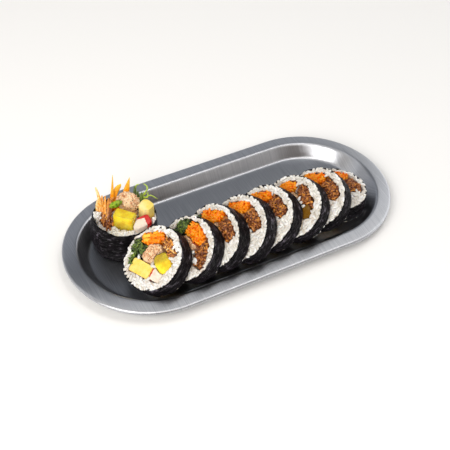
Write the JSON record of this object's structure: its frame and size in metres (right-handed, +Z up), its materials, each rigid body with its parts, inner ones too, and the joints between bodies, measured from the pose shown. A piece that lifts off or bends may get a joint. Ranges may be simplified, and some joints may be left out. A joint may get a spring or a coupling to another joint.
{
  "type": "gimbap on an oval steel tray",
  "caption": "Sliced seaweed rice roll with mixed fillings, leaning in a row on an oval steel tray, with the uncut end standing beside it.",
  "frame": {"origin": "centre of the tray's underside, on the surface that it stands on", "axes": "+X along the tray, from the first slice towards the last; +Z up; +Y towards the empty side of the tray"},
  "size_m": [0.285, 0.14, 0.0554],
  "materials": {
    "steel": "brushed stainless steel sheet, satin, with a fine straight grain",
    "nori": "moist seaweed sheet, near black with a faint violet sheen, finely crinkled",
    "rice": "cooked short-grain rice, moist and slightly translucent",
    "carrot": "fried carrot strips, glossy",
    "burdock": "soy-braised shreds, wet and glossy",
    "spinach": "blanched spinach, wet",
    "tuna": "flaked tuna in dressing, matt and crumbly",
    "egg": "soft rolled omelette, satin",
    "radish": "pickled yellow radish, wet and translucent",
    "crab": "pressed crab stick, satin, with a red skin on one side",
    "fillings": "the other fillings of the roll, moist",
    "leaf": "fresh green leaf, thin and satin"
  },
  "bodies": {
    "root": {"tray": "steel", "slice_1_nori": "nori", "slice_1_rice": "rice", "slice_1_carrot": "carrot", "slice_1_burdock": "burdock", "slice_1_spinach": "spinach", "slice_1_tuna": "tuna", "slice_1_egg": "egg", "slice_1_radish": "radish", "slice_1_crab": "crab", "slice_2_nori": "nori", "slice_2_rice": "rice", "slice_2_carrot": "carrot", "slice_2_burdock": "burdock", "slice_2_spinach": "spinach", "slice_2_fillings": "fillings", "slice_3_nori": "nori", "slice_3_rice": "rice", "slice_3_carrot": "carrot", "slice_3_burdock": "burdock", "slice_3_fillings": "fillings", "slice_4_nori": "nori", "slice_4_rice": "rice", "slice_4_carrot": "carrot", "slice_4_burdock": "burdock", "slice_4_fillings": "fillings", "slice_5_nori": "nori", "slice_5_rice": "rice", "slice_5_carrot": "carrot", "slice_5_burdock": "burdock", "slice_5_fillings": "fillings", "slice_6_nori": "nori", "slice_6_rice": "rice", "slice_6_carrot": "carrot", "slice_6_burdock": "burdock", "slice_6_radish": "radish", "slice_6_fillings": "fillings", "slice_7_nori": "nori", "slice_7_rice": "rice", "slice_7_carrot": "carrot", "slice_7_burdock": "burdock", "slice_7_fillings": "fillings", "slice_8_nori": "nori", "slice_8_rice": "rice", "slice_8_carrot": "carrot", "slice_8_burdock": "burdock", "slice_8_fillings": "fillings", "end_nori": "nori", "end_rice": "rice", "end_carrot": "carrot", "end_burdock": "burdock", "end_spinach": "spinach", "end_tuna": "tuna", "end_egg": "egg", "end_radish": "radish", "end_crab": "crab", "end_leaf": "leaf"}
  },
  "joints": []
}
